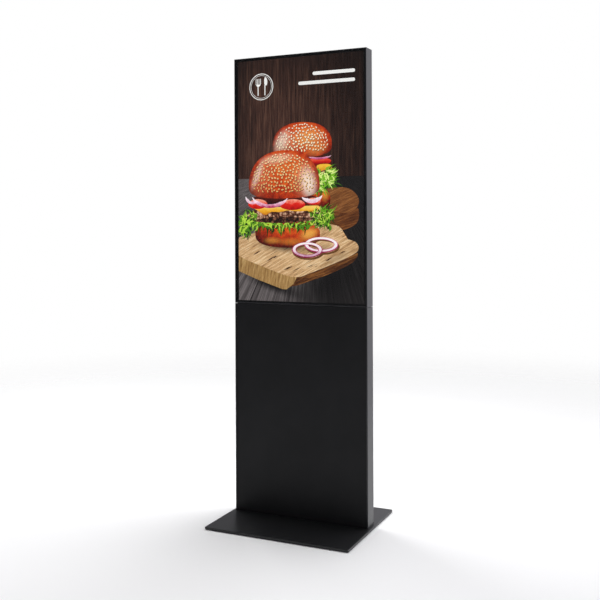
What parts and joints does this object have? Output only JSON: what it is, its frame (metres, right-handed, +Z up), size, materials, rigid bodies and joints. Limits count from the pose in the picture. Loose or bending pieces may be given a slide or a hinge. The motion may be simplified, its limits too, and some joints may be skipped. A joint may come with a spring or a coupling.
{
  "type": "touchscreen kiosk",
  "caption": "Free-standing portrait touchscreen totem on a flat base plate, with lockable rear doors over the display electronics and the equipment column.",
  "frame": {"origin": "on the floor, at the middle of the base plate's rectangle", "axes": "+Z up; the screen faces -Y; +X is on the right of someone facing the screen"},
  "size_m": [0.576, 0.476, 1.792],
  "materials": {
    "anodised": "satin black anodised",
    "base_steel": "fine-textured dark powder coat",
    "black_plastic": "fine-grained black",
    "black_steel": "satin black powder coat",
    "board": "green solder mask",
    "chrome": "bright plated",
    "cord": "smooth black sheath",
    "foam": "matt black foam",
    "frame_steel": "plain galvanised sheet",
    "glass": "clear glass with a black printed border",
    "grey_plastic": "fine-grained grey",
    "lcd": "dark glossy film",
    "red_plastic": "smooth red",
    "rubber": "matt black rubber",
    "tray_sheet": "light guide and white film in a plain galvanised tray",
    "zinc_steel": "bright zinc plate"
  },
  "bodies": {
    "kiosk": {"base_plate": "base_steel", "foot_bar": "zinc_steel", "upright_left": "zinc_steel", "upright_right": "zinc_steel", "crossbars": "zinc_steel", "floor_pads": "rubber", "base_bolts": "zinc_steel", "frame_bolts": "zinc_steel", "column_profile_left": "anodised", "column_profile_right": "anodised", "column_front_panel": "black_steel", "column_top_plate": "black_steel", "cable_grommet": "rubber", "housing_profile_left": "anodised", "housing_profile_right": "anodised", "housing_profile_top": "anodised", "housing_profile_bottom": "anodised", "corner_brackets": "zinc_steel", "corner_screws": "zinc_steel", "glass_gasket": "rubber", "touch_glass": "glass", "foam_spacer": "foam", "lcd_cell": "lcd", "lcd_front_frame": "black_steel", "backlight_unit": "tray_sheet", "hook_rails": "zinc_steel", "display_mainboard": "board", "display_power_board": "board", "touch_controller": "board", "board_standoffs": "zinc_steel", "speakers": "black_plastic", "fan_bracket": "zinc_steel", "fan_frames": "black_plastic", "equipment_plate": "frame_steel", "media_player": "black_plastic", "socket_strip": "grey_plastic", "inlet_panel": "black_steel", "mains_inlet": "black_plastic", "mains_lead": "cord", "display_power_lead": "cord", "player_power_lead": "cord", "hdmi_lead": "cord", "touch_lead": "cord", "cable_clips": "black_plastic", "fixed_hinge_leaves": "zinc_steel", "hinge_pins": "zinc_steel"},
    "service_door": {"service_door": "black_steel", "service_door_hinge_leaves": "zinc_steel", "service_lock_body": "chrome"},
    "service_lock": {"service_lock_plug": "chrome", "service_lock_cam": "zinc_steel"},
    "display_door": {"display_door": "black_steel", "display_door_hinge_leaves": "zinc_steel", "display_lock_body": "chrome"},
    "display_lock": {"display_lock_plug": "chrome", "display_lock_cam": "zinc_steel"},
    "mains_switch": {"mains_switch_rocker": "red_plastic"},
    "left_fan": {"fan_rotor_left": "black_plastic"},
    "right_fan": {"fan_rotor_right": "black_plastic"},
    "power_button": {"player_power_button": "grey_plastic"}
  },
  "joints": [
    {"name": "service_door_hinge", "type": "hinge", "parent": "kiosk", "child": "service_door", "pos_m": [-0.2723, 0.0516, 0.4455], "axis": [0, 0, 1], "range_deg": [0, 170]},
    {"name": "service_lock_turn", "type": "hinge", "parent": "service_door", "child": "service_lock", "pos_m": [0.238, 0.048, 0.4455], "axis": [0, 1, 0], "range_deg": [0, 90]},
    {"name": "display_door_hinge", "type": "hinge", "parent": "kiosk", "child": "display_door", "pos_m": [-0.2723, 0.0516, 1.3105], "axis": [0, 0, 1], "range_deg": [0, 170]},
    {"name": "display_lock_turn", "type": "hinge", "parent": "display_door", "child": "display_lock", "pos_m": [0.238, 0.048, 1.3105], "axis": [0, 1, 0], "range_deg": [0, 90]},
    {"name": "mains_switch_rock", "type": "hinge", "parent": "kiosk", "child": "mains_switch", "pos_m": [-0.064, 0.047, 0.038], "axis": [1, 0, 0], "range_deg": [-18, 0]},
    {"name": "left_fan_spin", "type": "hinge", "parent": "kiosk", "child": "left_fan", "pos_m": [-0.06, 0.0305, 1.677], "axis": [0, 1, 0], "continuous": true},
    {"name": "right_fan_spin", "type": "hinge", "parent": "kiosk", "child": "right_fan", "pos_m": [0.06, 0.0305, 1.677], "axis": [0, 1, 0], "continuous": true},
    {"name": "power_button_press", "type": "slide", "parent": "kiosk", "child": "power_button", "axis": [0, -1, 0], "range_m": [0, 0.001], "stiffness_N_per_m": 1000, "springref_m": -0.0005}
  ]
}
